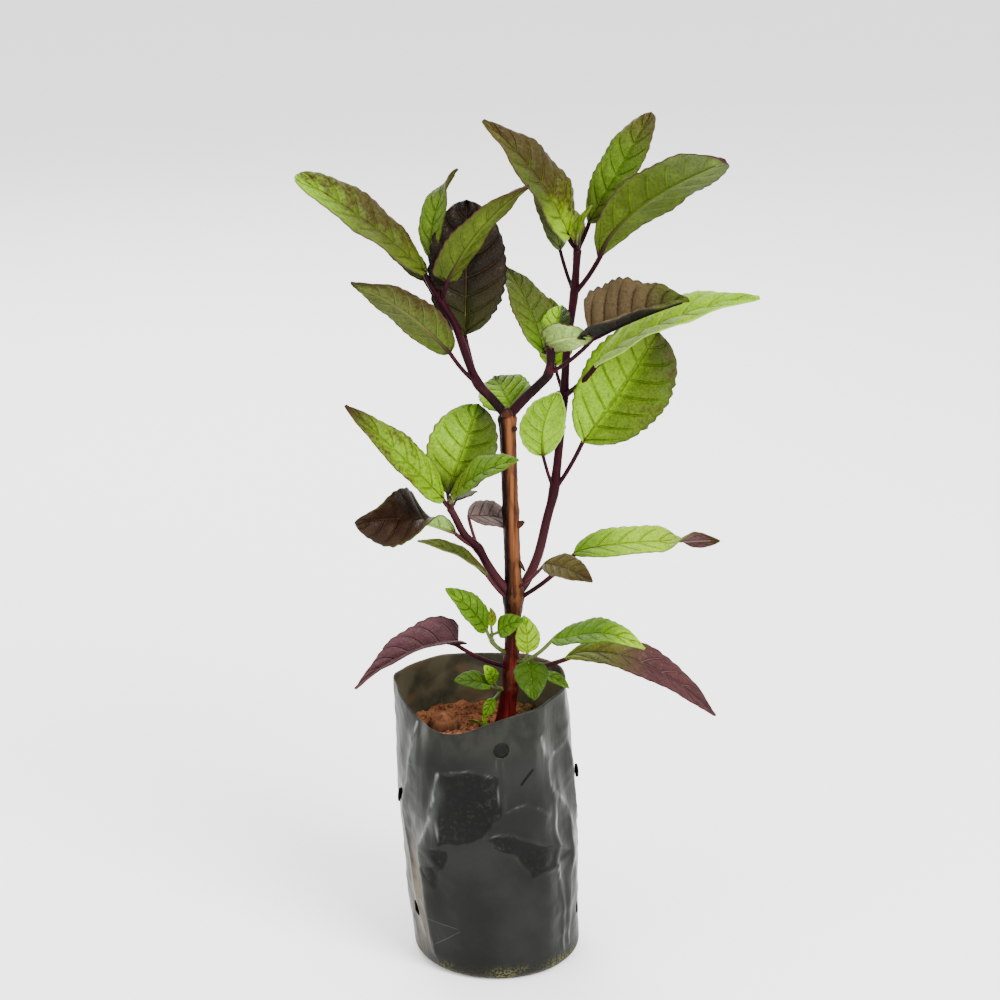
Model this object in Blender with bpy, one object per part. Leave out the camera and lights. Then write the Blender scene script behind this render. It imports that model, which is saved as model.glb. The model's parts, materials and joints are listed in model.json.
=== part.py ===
"""Holy basil plant in a black polythene nursery bag filled with red soil.

The plant is a woody trunk that forks into leafy stems with opposite pairs of toothed leaves. Lengths in
the tables are in millimetres and angles in degrees; MM turns them into Blender's metres.
"""
import math
from collections import namedtuple

import bmesh
import bpy
from mathutils import Matrix, Vector

MM = 0.001
GAP = 0.3                     # between neighbouring pieces, mm
WELD = 1e-6                   # vertices closer than this are one, m

# nursery bag: lay-flat tube 102 mm wide, filled and stood up
BAG_RADIUS = 31.7             # at the base; the film bulges a little above it
BAG_BULGE = 1.8
BAG_HEIGHT = 109.5
BAG_WALL = 0.8
BAG_LEAN = 6.1                # how far the rim's centre stands to the left of the base's
BASE_CORNER = 4.0             # radius of the rounded bottom edge
BAG_SIDES = 40
BAG_RINGS = (0, 1.2, BASE_CORNER, 15, 40, 65, 88)     # heights of the wall's rings below the rim
RIM_WAVE = (1.2, 0.6)         # the rim's gentle ups and downs: twice round, once round
RIM_DIP = 8.0                 # the rim sags at the front left
RIM_DIP_AT = math.radians(-117)
RIM_DIP_SPREAD = math.radians(33)
CREASES = ((-135, 1.3), (-52, 1.5), (-20, 0.9), (60, 1.2), (118, 1.0), (172, 1.2))    # azimuth, height in mm
CREASE_SPREAD = math.radians(10)
CREASE_FADES_BELOW = 15
HOLE_RADIUS = 3.0             # punched drain holes
DRAIN_HOLES = ((-78, 95), (-168, 66), (-8, 75), (-155, 22), (-14, 20), (90, 70), (90, 22))    # azimuth, height
TUCK_AT = math.radians(-134)  # fold tucked in at the rim
TUCK_SPREAD = math.radians(9)
TUCK_DEPTH = 2.5

# soil
SOIL_TOP = 88.0
SOIL_LUMP = 1.4
SOIL_RINGS = (7, 15, 40, 65, 84)          # heights up the bag's wall
SOIL_SHARES = (1, 0.84, 0.66, 0.48, 0.32)    # rings over the top, as shares of the way out from the trunk
CLOD = (-20.5, 9)
CLOD_RADIUS = 5.5
CLOD_HEIGHT = 4.0
TRUNK_FOOT = 62.0
HOLE_FOR_TRUNK = 4.5

# blades
BLADE_THICKNESS = 0.6
BLADE_BASE, BLADE_TIP = 0.7, 0.35         # least half widths
TOOTH_DEPTH = 0.09            # share of the half width
TOOTH_LEAN = 0.25             # how far a tooth leans to the tip, in rows
BROAD_BLADE, SMALL_BLADE = 34.0, 18.0     # lengths that set how many strips and teeth a blade has

# petioles
PETIOLE_SIDES = 6
PETIOLE_GIRTH, GIRTH_PER_BLADE = 0.45, 0.008      # radius: least, and what each mm of blade adds
PETIOLE_SAG = 0.06            # share of its length
PETIOLE_RUNS_IN = 0.16        # how far it runs on inside the blade, as a share of the blade

Leaf = namedtuple("Leaf", "node petiole blade width roll arch fold twist sickle peak heel point",
                  defaults=(0.08, 14, (0, 0, 1), 0.0, 0.5, 0.55, 0.85))
Stem = namedtuple("Stem", "route radii leaves")

# trunk: x, y, z and radius, foot to fork
TRUNK = ((1.5, 0, TRUNK_FOOT, 3.5), (2, 0, 85, 3.85), (3.3, 0, 96, 3.4), (4.6, 0, 106, 3.0), (5.3, 0, 117, 2.9),
         (5.8, 0, 132, 2.9), (6, 0, 144, 3.75), (5.8, 0, 153, 3.05), (4.9, 0, 177, 2.95), (4.2, 0, 196, 2.95),
         (3.8, 0, 208, 3.0), (3.6, 0, 213, 3.2), (3.5, 0, 215.5, 2.2))

# leafy stems: route points, radius at the foot and at the tip, and leaves as
# (route point it grows from, petiole (length, azimuth, rise), blade (length, azimuth, rise), width, roll, ...)
STEMS = {
    "top_left_stem": Stem(
        ((3.5, 0, 213), (-2, -1, 220), (-7, -2, 226), (-11, -3, 236), (-15, -4, 248), (-20, -5, 257),
         (-21, -5, 261)),
        (1.7, 1.2), (
            Leaf(2, (19, -138, 46), (45, -164, 38), 17, 56, arch=0.1, heel=0.45),
            Leaf(2, (18.8, 157, 74), (47.6, 82, 83), 29, 14, heel=0.55, point=0.55),
            Leaf(5, (12.5, -161, 61), (59, -163, 39), 21, -36, sickle=-0.05, point=0.45),
            Leaf(5, (15.5, 129, 71), (33, 41, 68), 13, 5, twist=(-55, 0.45, 0.55), sickle=-0.06,
                 point=0.45),
            Leaf(5, (9.4, -61, 61), (46.7, -16, 50), 19, -30, heel=0.2, point=0.7),
            Leaf(5, (10.5, 136, 38), (24, 152, 34), 11, -18),
        )),
    "top_right_stem": Stem(
        ((3.9, 0, 213), (10, -2, 220.5), (15, -4, 226), (18.5, -6, 231), (19.2, -8, 239), (19.5, -8, 243)),
        (1.9, 1.3), (
            Leaf(3, (22.5, -28, 40), (39, -20, 26), 36, 24, fold=42, arch=0.03, heel=0.22, point=0.8),
            Leaf(4, (4, 133, -6), (36.2, 123, 46), 18, 3),
            Leaf(4, (5, -126, 50), (22, -40, 16), 13, -60, heel=0.3),
            Leaf(5, (5, 85, 6), (14, 71, 39), 11, 6),
        )),
    "tall_stem": Stem(
        ((5.8, 0, 143.5), (10, 3, 147), (15, 6, 157), (18.4, 8, 171), (21, 9, 182), (23, 12, 200), (24.5, 14, 217),
         (25.5, 15, 234), (28, 16, 255), (29, 16, 271)),
        (1.9, 1.3), (
            Leaf(4, (15.5, -136, 68), (26.4, -35, 75), 18, -40, sickle=0.06),
            Leaf(4, (21.8, -4, 61), (48.5, 27, 51), 35, 68, heel=0.6, point=0.5),
            Leaf(6, (22.5, -49, 41), (69, -25, 27), 24, 21),
            Leaf(6, (12.5, 112, 47), (25, 116, 80), 15, -11),
            Leaf(8, (17, 126, 59), (31, 140, 62), 11, -20),
            Leaf(8, (19, -38, 53), (62, -30, 39), 25, -40, arch=0.13, peak=0.35, point=0.5),
            Leaf(9, (7.5, -141, 51), (55, -157, 53), 25, -49, heel=0.42),
            Leaf(9, (11, 35, 61), (45, 10, 60), 17, 42, sickle=0.05, point=0.55),
            Leaf(9, (4, -85, 44), (17, -52, 64), 8, 54),
            Leaf(9, (4.5, 99, 31), (14, 95, 44), 8, -2),
        )),
    "middle_left_stem": Stem(
        ((5.8, 0, 143.5), (0.3, -2, 150.5), (-4, -4, 158), (-7, -5, 164), (-12, -7, 170), (-15.4, -9, 177.5),
         (-17, -10, 181)),
        (1.8, 1.2), (
            Leaf(3, (12, -155, 38), (38.4, -161, 12), 23, 30, fold=24, twist=(-140, 0.05, 0.9), heel=0.7,
                 point=0.65),
            Leaf(3, (12.5, 122, 56), (24, 32, -19), 15, 29),
            Leaf(6, (5.5, -145, 52), (53, -160, 47), 17, -46, sickle=-0.06),
            Leaf(6, (6, 110, 58), (34, 47, 61), 26, 37, point=0.6),
            Leaf(6, (5.5, -82, 56), (38, -40, 34), 16, 40),
            Leaf(6, (6.3, 74, 10), (14, 59, -3), 9, 0),
        )),
    "base_left_shoot": Stem(
        ((5, 0, 120.5), (1, -2, 123), (-2, -4, 127), (-2, -4.5, 130)), (0.9, 0.7), (
            Leaf(2, (6, -138, 62), (24.5, -158, 49), 12, -54),
            Leaf(3, (5.5, -58, 30), (13, -34, 33), 9, 65),
            Leaf(3, (3, 100, 60), (7, 110, 81), 4, 20),
        )),
    "base_right_shoot": Stem(
        ((5.4, 0, 118), (8.5, -2.5, 118.5), (10.5, -4.5, 119.5)), (1.0, 0.8), (
            Leaf(2, (17, -39, 42), (36, -23, 3), 15, 20, arch=0.15, peak=0.6),
            Leaf(2, (5.5, -77, 55), (14, 127, 80), 10, -18),
            Leaf(2, (6.5, -80, 15), (17, -82, -33), 13, 5),
            Leaf(2, (9, -40, -22), (11, -20, -22), 6, 19),
        )),
    "low_shoot": Stem(
        ((4.4, 0, 106), (1.5, -2, 107), (0, -3.5, 108)), (0.8, 0.6), (
            Leaf(2, (4.5, -138, 30), (15, -156, 16), 9, -33),
            Leaf(2, (4, -119, 55), (8.5, -152, 60), 6, -85),
            Leaf(1, (6, -123, -22), (8, -130, -47), 5, -39),
        )),
    "purple_leaf_left": Stem(((5.3, 0, 115),), (0.8, 0.7), (
        Leaf(0, (25.2, -159, 29), (40.5, -168, -21), 20, -32, arch=0.2, fold=50, peak=0.4, heel=0.22,
             point=1.05),)),
    "purple_leaf_right": Stem(((5.3, 0, 115),), (0.8, 0.7), (
        Leaf(0, (21, -8, 12), (59.5, -6, -20), 15, 32, arch=0.25, peak=0.4),)),
    "long_leaf_right": Stem(((6, 0, 141.5),), (0.8, 0.7), (
        Leaf(0, (29.6, -4, 40), (54, 4, 4), 15, 27, arch=0.06, twist=(-150, 0.58, 0.42), peak=0.35,
             heel=0.45, point=0.8),)),
    "small_leaf_front": Stem(((6, 0, 146),), (0.8, 0.6), (Leaf(0, (22, -47, 41), (21, -35, -7), 12, 26),)),
    "fork_leaf": Stem(((4.2, 0, 211),), (0.8, 0.7), (Leaf(0, (6, 70, 20), (22, 110, 20), 20, -20),)),
    "under_leaf": Stem(((5.6, 0, 141),), (0.8, 0.7), (Leaf(0, (18.5, -141, 48), (33, -152, 32), 10, -20),)),
}

COLOURS = {"bag": (0.03, 0.034, 0.034), "soil": (0.29, 0.10, 0.05), "bark": (0.22, 0.085, 0.045),
           "green": (0.20, 0.32, 0.05), "purple": (0.13, 0.045, 0.06)}
PURPLE_STEMS = ("purple_leaf_left", "purple_leaf_right", "small_leaf_front")


def material(name, roughness):
    made = bpy.data.materials.new(name)
    made.use_nodes = True
    shader = made.node_tree.nodes["Principled BSDF"]
    shader.inputs["Base Color"].default_value = (*COLOURS[name], 1)
    shader.inputs["Roughness"].default_value = roughness
    return made


def new_object(name, mesh, mat=None):
    made = bpy.data.objects.new(name, mesh)
    bpy.context.scene.collection.objects.link(made)
    if mat:
        made.data.materials.clear()
        made.data.materials.append(mat)
    return made


def mesh_from(bm, name):
    mesh = bpy.data.meshes.new(name)
    bm.to_mesh(mesh)
    bm.free()
    return mesh


def apply_modifiers(obj):
    """Replace an object's mesh by what its modifiers make of it."""
    graph = bpy.context.evaluated_depsgraph_get()
    graph.update()
    mesh = bpy.data.meshes.new_from_object(obj.evaluated_get(graph))
    obj.modifiers.clear()
    old = obj.data
    obj.data = mesh
    bpy.data.meshes.remove(old)


def tube(name, points, radii, sides, steps=3):
    """A closed round tube along a smooth curve through points (mm), its radius given at each point."""
    curve = bpy.data.curves.new(name, "CURVE")
    curve.dimensions = "3D"
    curve.bevel_depth = MM
    curve.bevel_resolution = sides // 2 - 2
    curve.use_fill_caps = True
    curve.resolution_u = steps
    spline = curve.splines.new("BEZIER")
    spline.bezier_points.add(len(points) - 1)
    for knot, point, radius in zip(spline.bezier_points, points, radii):
        knot.co = Vector(point) * MM
        knot.radius = radius
        knot.handle_left_type = knot.handle_right_type = "AUTO"
    guide = new_object(name + "_guide", curve)
    graph = bpy.context.evaluated_depsgraph_get()
    bm = bmesh.new()
    bm.from_mesh(bpy.data.meshes.new_from_object(guide.evaluated_get(graph)))
    bmesh.ops.remove_doubles(bm, verts=bm.verts, dist=WELD)
    bpy.data.objects.remove(guide)
    bpy.data.curves.remove(curve)
    return new_object(name, mesh_from(bm, name))


# ---- leaves ----

def heading(length, azimuth, rise):
    """Vector of a length in mm, pointing to a compass azimuth (0 is +X, 90 is +Y) and rising from level."""
    turn, lift = math.radians(azimuth), math.radians(rise)
    return Vector((math.cos(turn) * math.cos(lift), math.sin(turn) * math.cos(lift), math.sin(lift))) * length


def half_width(leaf, t):
    """Ovate outline: a low heel is a round base, a low point a blunt tip."""
    widest = leaf.heel / (leaf.heel + leaf.point)
    shape = (t / widest) ** leaf.heel * ((1 - t) / (1 - widest)) ** leaf.point
    return max(leaf.width / 2 * shape, BLADE_BASE if t < 0.5 else BLADE_TIP)


def blade_point(leaf, base, s, t):
    """Point of the blade's middle surface: s runs -1 to 1 across, t 0 to 1 from base to tip."""
    chord = heading(*leaf.blade)
    length = chord.length
    along = chord.normalized()
    up = (Vector((0, 0, 1)) - along * along.z).normalized()
    normal = Matrix.Rotation(math.radians(leaf.roll), 3, along) @ up
    side = along.cross(normal)
    late = leaf.peak / (1 - leaf.peak)
    top = leaf.peak ** late * (1 - leaf.peak)

    def midrib(t):
        bow = leaf.arch * length * t ** late * (1 - t) / top
        sway = leaf.sickle * length * 4 * t * (1 - t)
        return base + chord * t + normal * bow + side * sway

    tangent = (midrib(min(t + 0.01, 1)) - midrib(max(t - 0.01, 0))).normalized()
    lifted = (normal - tangent * tangent.dot(normal)).normalized()
    degrees, start, span = leaf.twist
    turn = min(max((t - start) / span, 0), 1)
    turned = Matrix.Rotation(math.radians(degrees * turn * turn * (3 - 2 * turn)), 3, tangent)
    across = turned @ tangent.cross(lifted)
    lifted = turned @ lifted
    reach = abs(s) * half_width(leaf, t)
    fold = math.radians(leaf.fold)
    return midrib(t) + across * math.copysign(reach * math.cos(fold), s) + lifted * reach * math.sin(fold)


def blade(name, leaf, base):
    """A thin toothed blade: a grid bent to the leaf's surface, split into triangles, then thickened."""
    length = leaf.blade[0]
    strips = 4 if length > BROAD_BLADE else 2
    teeth = 6 if length > BROAD_BLADE else 5 if length > SMALL_BLADE else 3
    rows = 2 * teeth
    bm = bmesh.new()
    bmesh.ops.create_grid(bm, x_segments=strips, y_segments=rows, size=1)
    for vert in bm.verts:
        s, t = vert.co.x, (vert.co.y + 1) / 2
        row = round(t * rows)
        if 0 < row < rows and abs(s) > 0.99:
            if row % 2:
                t += TOOTH_LEAN / rows
            else:
                s *= 1 - TOOTH_DEPTH
        vert.co = blade_point(leaf, base, s, t) * MM
    bmesh.ops.triangulate(bm, faces=bm.faces)
    made = new_object(name, mesh_from(bm, name))
    wall = made.modifiers.new("thickness", "SOLIDIFY")
    wall.thickness = BLADE_THICKNESS * MM
    wall.offset = 0
    apply_modifiers(made)
    return made


def leafy_stem(name, stem, mat, trunk_cutter):
    """A stem with its petioles and blades, joined into one body and cut to sit against the trunk."""
    thick, thin = stem.radii
    pieces = []
    last = len(stem.route) - 1
    if last > 0:
        taper = [thick + (thin - thick) * k / last for k in range(last + 1)]
        pieces.append(tube(name, stem.route, taper, PETIOLE_SIDES, 2))
    for k, leaf in enumerate(stem.leaves):
        root = Vector(stem.route[leaf.node])
        base = root + heading(*leaf.petiole)
        inside = blade_point(leaf, base, 0, PETIOLE_RUNS_IN)
        middle = (root + base) / 2 - Vector((0, 0, PETIOLE_SAG * leaf.petiole[0]))
        girth = PETIOLE_GIRTH + GIRTH_PER_BLADE * leaf.blade[0]
        pieces.append(tube(f"{name}_petiole_{k}", (root, middle, base, inside),
                           (girth * 1.15, girth, girth, girth * 0.6), PETIOLE_SIDES, 1))
        pieces.append(blade(f"{name}_blade_{k}", leaf, base))
    body, others = pieces[0], pieces[1:]
    group = bpy.data.collections.new(name + "_pieces")
    for piece in others:
        group.objects.link(piece)
    join = body.modifiers.new("join", "BOOLEAN")
    join.operation = "UNION"
    join.operand_type = "COLLECTION"
    join.collection = group
    join.solver = "MANIFOLD"      # EXACT drops a blade from two of these joins
    apply_modifiers(body)
    for piece in others:
        bpy.data.objects.remove(piece)
    bpy.data.collections.remove(group)
    seat = body.modifiers.new("seat", "BOOLEAN")
    seat.operation = "DIFFERENCE"
    seat.object = trunk_cutter
    seat.solver = "MANIFOLD"
    apply_modifiers(body)
    body.name = name
    body.data.materials.clear()
    body.data.materials.append(mat)
    body.data.shade_smooth()
    return body


# ---- bag and soil ----

def bag_wall(azimuth, height, inset):
    """Point of the bag's outer wall, moved inwards by inset (mm)."""
    level = height / BAG_HEIGHT
    radius = BAG_RADIUS + BAG_BULGE * math.sin(0.9 * math.pi * min(level, 1)) - inset
    if height < BASE_CORNER:
        rest = 1 - height / BASE_CORNER
        radius -= BASE_CORNER * (1 - math.sqrt(max(1 - rest * rest, 0)))
    for at, lift in CREASES:
        away = math.remainder(azimuth - math.radians(at), 2 * math.pi) / CREASE_SPREAD
        radius += lift * math.exp(-away * away) * min(1, height / CREASE_FADES_BELOW)
    centre = -BAG_LEAN * level
    return Vector((centre + radius * math.cos(azimuth), radius * math.sin(azimuth), height))


def rim_height(azimuth):
    away = math.remainder(azimuth - RIM_DIP_AT, 2 * math.pi) / RIM_DIP_SPREAD
    twice, once = RIM_WAVE
    wave = twice * math.cos(2 * azimuth) + once * math.cos(azimuth)
    return BAG_HEIGHT - RIM_DIP * math.exp(-away * away) + wave


def wall_grid(levels):
    """A strip of wall round the bag: the columns of a grid become azimuths and its rows the levels."""
    bm = bmesh.new()
    rows = len(levels) - 1
    bmesh.ops.create_grid(bm, x_segments=BAG_SIDES, y_segments=rows, size=1)
    for vert in bm.verts:
        azimuth = math.pi * vert.co.x
        row = round((vert.co.y + 1) / 2 * rows)
        vert.co = levels[row](azimuth) * MM
    bmesh.ops.remove_doubles(bm, verts=bm.verts, dist=WELD)
    ends = [e for e in bm.edges if e.is_boundary]
    return bm, ends


def rim(azimuth):
    """The bag's open edge, with a fold tucked in at the front left."""
    point = bag_wall(azimuth, rim_height(azimuth), 0)
    away = math.remainder(azimuth - TUCK_AT, 2 * math.pi) / TUCK_SPREAD
    inward = TUCK_DEPTH * math.exp(-away * away)
    return point - Vector((math.cos(azimuth), math.sin(azimuth), 0)) * inward


def bag(mat):
    levels = [lambda azimuth, h=h: bag_wall(azimuth, h, 0) for h in BAG_RINGS]
    levels.append(lambda azimuth: (bag_wall(azimuth, SOIL_TOP, 0) + rim(azimuth)) / 2)
    levels.append(rim)
    bm, ends = wall_grid(levels)
    bottom = [e for e in ends if e.verts[0].co.z < MM and e.verts[1].co.z < MM]
    bmesh.ops.contextual_create(bm, geom=bottom)
    bmesh.ops.recalc_face_normals(bm, faces=bm.faces)
    floor = min(bm.faces, key=lambda f: f.calc_center_median().z)
    if floor.normal.z > 0:
        bmesh.ops.reverse_faces(bm, faces=bm.faces)
    bmesh.ops.triangulate(bm, faces=bm.faces)
    made = new_object("polybag", mesh_from(bm, "polybag"), mat)
    film = made.modifiers.new("film", "SOLIDIFY")
    film.thickness = BAG_WALL * MM
    film.offset = -1
    apply_modifiers(made)
    punch(made)
    made.data.shade_smooth()
    return made


def punch(made):
    """Cut the round drain holes through the bag's wall."""
    group = bpy.data.collections.new("punches")
    for at, height in DRAIN_HOLES:
        azimuth = math.radians(at)
        centre = bag_wall(azimuth, height, BAG_WALL / 2) * MM
        bm = bmesh.new()
        outward = Vector((math.cos(azimuth), math.sin(azimuth), 0))
        facing = Matrix.Translation(centre) @ outward.to_track_quat("Z", "Y").to_matrix().to_4x4()
        bmesh.ops.create_cone(bm, cap_ends=True, segments=10, radius1=HOLE_RADIUS * MM,
                              radius2=HOLE_RADIUS * MM, depth=5 * MM, matrix=facing)
        group.objects.link(new_object("punch", mesh_from(bm, "punch")))
    cut = made.modifiers.new("punch", "BOOLEAN")
    cut.operation = "DIFFERENCE"
    cut.operand_type = "COLLECTION"
    cut.collection = group
    apply_modifiers(made)
    for cutter in list(group.objects):
        bpy.data.objects.remove(cutter)
    bpy.data.collections.remove(group)


def soil_surface(x, y):
    """Height of the crumbly soil at a place, with one round clod at the back left."""
    lump = math.sin(0.41 * x + 1.1) * math.cos(0.37 * y) + 0.6 * math.sin(0.83 * x - 0.6 * y)
    clod = math.exp(-((x - CLOD[0]) ** 2 + (y - CLOD[1]) ** 2) / CLOD_RADIUS ** 2)
    return SOIL_TOP + SOIL_LUMP / 2 * lump + CLOD_HEIGHT * clod


def soil(mat):
    """A plug that fills the bag: up its wall, in over the lumpy top, and down the plain hole for the trunk."""
    inset = BAG_WALL + GAP
    hole = Vector((TRUNK[1][0], 0, 0))
    levels = [lambda azimuth, h=h: bag_wall(azimuth, h, inset) for h in SOIL_RINGS]

    def flat_base(azimuth):
        point = bag_wall(azimuth, BASE_CORNER, inset + BASE_CORNER)
        return Vector((point.x, point.y, inset + 0.1))

    def hole_ring(azimuth, radius, height=None):
        point = hole + Vector((math.cos(azimuth), math.sin(azimuth), 0)) * radius
        return Vector((point.x, point.y, soil_surface(point.x, point.y) if height is None else height))

    def ring(share):
        def place(azimuth):
            edge = bag_wall(azimuth, SOIL_TOP, inset)
            x, y = hole.x + (edge.x - hole.x) * share, edge.y * share
            return Vector((x, y, soil_surface(x, y)))
        return place

    levels.insert(0, flat_base)
    levels += [ring(share) for share in SOIL_SHARES]
    levels.append(lambda azimuth: hole_ring(azimuth, HOLE_FOR_TRUNK))
    levels.append(lambda azimuth: hole_ring(azimuth, HOLE_FOR_TRUNK, TRUNK_FOOT - GAP))
    bm, ends = wall_grid(levels)
    low = [e for e in ends if e.verts[0].co.z < 0.02]
    high = [e for e in ends if e.verts[0].co.z >= 0.02]
    bmesh.ops.contextual_create(bm, geom=low)
    bmesh.ops.contextual_create(bm, geom=high)
    bmesh.ops.recalc_face_normals(bm, faces=bm.faces)
    made = new_object("soil", mesh_from(bm, "soil"), mat)
    made.data.shade_smooth()
    return made


def main():
    for obj in list(bpy.data.objects):
        bpy.data.objects.remove(obj)
    bag(material("bag", 0.4))
    soil(material("soil", 0.9))
    places = [knot[:3] for knot in TRUNK]
    trunk = tube("trunk", places, [knot[3] for knot in TRUNK], 10, 2)
    trunk.data.materials.append(material("bark", 0.75))
    trunk.data.shade_smooth()
    top = places.pop()
    places.append((*top[:2], top[2] + GAP))
    cutter = tube("trunk_room", places, [knot[3] + GAP for knot in TRUNK], 10, 2)
    cutter.hide_render = True
    cutter.display_type = "WIRE"
    green, purple = material("green", 0.5), material("purple", 0.5)
    for name, stem in STEMS.items():
        leafy_stem(name, stem, purple if name in PURPLE_STEMS else green, cutter)


main()
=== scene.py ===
import json
import math
import random
from collections import namedtuple

import bmesh
import bpy
from mathutils import Matrix, Vector, noise

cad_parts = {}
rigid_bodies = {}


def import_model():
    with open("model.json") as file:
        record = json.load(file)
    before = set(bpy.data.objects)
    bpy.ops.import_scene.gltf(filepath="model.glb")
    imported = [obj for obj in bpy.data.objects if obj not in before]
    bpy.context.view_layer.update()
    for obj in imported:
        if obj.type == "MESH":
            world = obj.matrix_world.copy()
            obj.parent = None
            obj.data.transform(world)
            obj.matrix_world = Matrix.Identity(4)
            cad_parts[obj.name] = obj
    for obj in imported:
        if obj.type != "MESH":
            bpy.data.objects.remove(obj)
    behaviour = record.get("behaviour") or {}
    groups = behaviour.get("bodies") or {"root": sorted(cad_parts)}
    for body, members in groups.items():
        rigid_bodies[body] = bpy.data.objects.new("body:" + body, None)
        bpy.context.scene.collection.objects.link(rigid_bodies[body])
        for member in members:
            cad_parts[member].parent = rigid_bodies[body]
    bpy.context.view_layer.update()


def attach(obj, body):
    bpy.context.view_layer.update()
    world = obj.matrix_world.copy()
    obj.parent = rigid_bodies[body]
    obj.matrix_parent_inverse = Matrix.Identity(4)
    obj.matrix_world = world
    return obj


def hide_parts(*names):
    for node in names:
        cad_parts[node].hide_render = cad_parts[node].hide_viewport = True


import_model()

# ---- nursery bag ----
# A lay-flat tube of thin black polythene, 102 mm wide, welded across the bottom and punched with drain
# holes. Full of soil it stands as a creased, slightly leaning cylinder with a wavy rim and a tucked fold.
MM = 0.001
BAG_RADIUS, BAG_BULGE, BAG_HEIGHT, BAG_LEAN = 31.7, 1.8, 109.5, 6.1
BASE_CORNER = 4.0
RIM_DIP, RIM_DIP_AT, RIM_DIP_SPREAD = 8.0, math.radians(-117), math.radians(33)
# broad folds: azimuth in degrees and how far each stands out in mm
FOLDS = ((-135, 1.3), (-52, 1.5), (-20, 0.9), (60, 1.2), (118, 1.0), (172, 1.2))
FOLD_SPREAD = math.radians(10)
TUCK_AT, TUCK_SPREAD, TUCK_DEPTH = math.radians(-134), math.radians(9), 2.5
# drain holes: azimuth in degrees and height in mm
DRAIN_HOLES = ((-78, 95), (-168, 66), (-8, 75), (-155, 22), (-14, 20), (90, 70), (90, 22))
HOLE_RADIUS, ROUND = 3.0, 28
FILM_THICKNESS, FILM_COLUMNS, FILM_ROWS = 0.35, 264, 140
# how much the film's rows crowd at its foot, and millimetres to a unit of its UV map
ROWS_GATHER, UV_UNIT = 1.15, 100
# creases: how far each stands out (mm), its half width (mm), its paleness (crest whitening with a painted
# highlight, and a painted sheen beside it), and the azimuth (degrees) and height (mm) of its points
CREASE_LINES = (
    (1.7, 2.4, 0.9, (-138, 102), (-141, 93), (-143, 86), (-148, 78), (-155, 70), (-166, 61)),
    (1.5, 2.0, 0.9, (-122, 84), (-124, 75), (-129, 64), (-136, 56), (-142, 49), (-144, 42)),
    (0.6, 1.2, 0.4, (-122, 84), (-124, 68), (-124, 56)),
    (0.6, 1.4, 0.2, (-122, 84), (-110, 86), (-99, 87), (-81, 84)),
    (0.4, 0.9, 0.3, (-82, 91), (-82, 84), (-81, 70)),
    (0.3, 0.9, 0.2, (-78, 90), (-78, 72)),
    (0.8, 2.0, 0.2, (-93, 60), (-82, 70), (-66, 73), (-55, 70), (-44, 64)),
    (1.7, 2.6, 0.2, (-93, 60), (-85, 62), (-74, 61), (-57, 56), (-40, 52), (-26, 47)),
    (0.5, 1.4, 0.1, (-91, 60), (-85, 57), (-74, 53), (-69, 48), (-62, 43), (-37, 45), (-26, 47)),
    (1.1, 1.5, 0.8, (-50, 98), (-49, 91), (-46, 81), (-42, 73), (-41, 62), (-42, 46), (-38, 36), (-37, 18),
     (-36, 5)),
    (1.3, 1.9, 0.7, (-43, 76), (-34, 70), (-25, 61), (-24, 53), (-25, 45), (-29, 36), (-31, 24), (-30, 8)),
    (0.7, 1.6, 0.4, (-49, 88), (-36, 90), (-22, 92)),
    (1.0, 2.0, 0.5, (-22, 92), (-17, 75), (-12, 55)),
    (1.0, 1.8, 0.4, (-144, 42), (-140, 39), (-139, 33), (-137, 21), (-137, 9), (-131, 1)),
    (0.9, 2.2, 0.4, (-166, 61), (-158, 45), (-152, 30), (-146, 12)),
    (-1.0, 1.1, 0.0, (-142, 42), (-135, 40), (-127, 45)),
    (-0.9, 1.1, 0.0, (-131, 52), (-124, 48), (-118, 53)),
    (1.3, 2.2, 0.8, (170, 95), (160, 70), (150, 45), (158, 20), (162, 6)),
    (1.3, 2.4, 0.8, (120, 100), (118, 80), (104, 60), (100, 35), (110, 12)),
    (1.1, 1.8, 0.7, (60, 100), (66, 78), (58, 52), (40, 40), (30, 18), (28, 6)),
    (1.2, 2.2, 0.6, (20, 96), (24, 70), (10, 52), (4, 30)),
    (1.0, 2.0, 0.3, (104, 60), (90, 64), (74, 56), (58, 52)),
    (-1.0, 1.8, 0.0, (160, 64), (140, 60), (126, 50), (112, 56)),
    (-0.9, 1.6, 0.0, (24, 70), (40, 62), (54, 66)))
# a cut painted as a black line of shade, and scratches: their ends as azimuth and height, and half width in
# mm
CUT = ((-67, 80), (-57, 86.6), 0.4)
SCRATCHES = (((-155, 24), (-112, 20.5), 0.12), ((-112, 20.5), (-136, 11), 0.1), ((70, 40), (96, 52), 0.12),
             ((140, 80), (128, 62), 0.1))
# middle of the soil stain, as azimuth and height
STAIN_AT = (-150, 28)
# patches of painted sheen that lighten the film: azimuth, height, reach each way (mm) and how much
PAINTED_SHEEN = ((-137, 86, 3.5, 14, 0.16), (-148, 64, 4, 9, 0.12), (-131, 101, 3, 6, 0.2),
             (-132, 62, 2.5, 8, 0.2), (-46, 92, 4, 9, 0.2), (-33, 76, 3, 9, 0.16), (60, 80, 6, 20, 0.12),
             (118, 60, 6, 24, 0.12), (172, 70, 6, 24, 0.12), (5, 50, 6, 24, 0.12))
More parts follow.
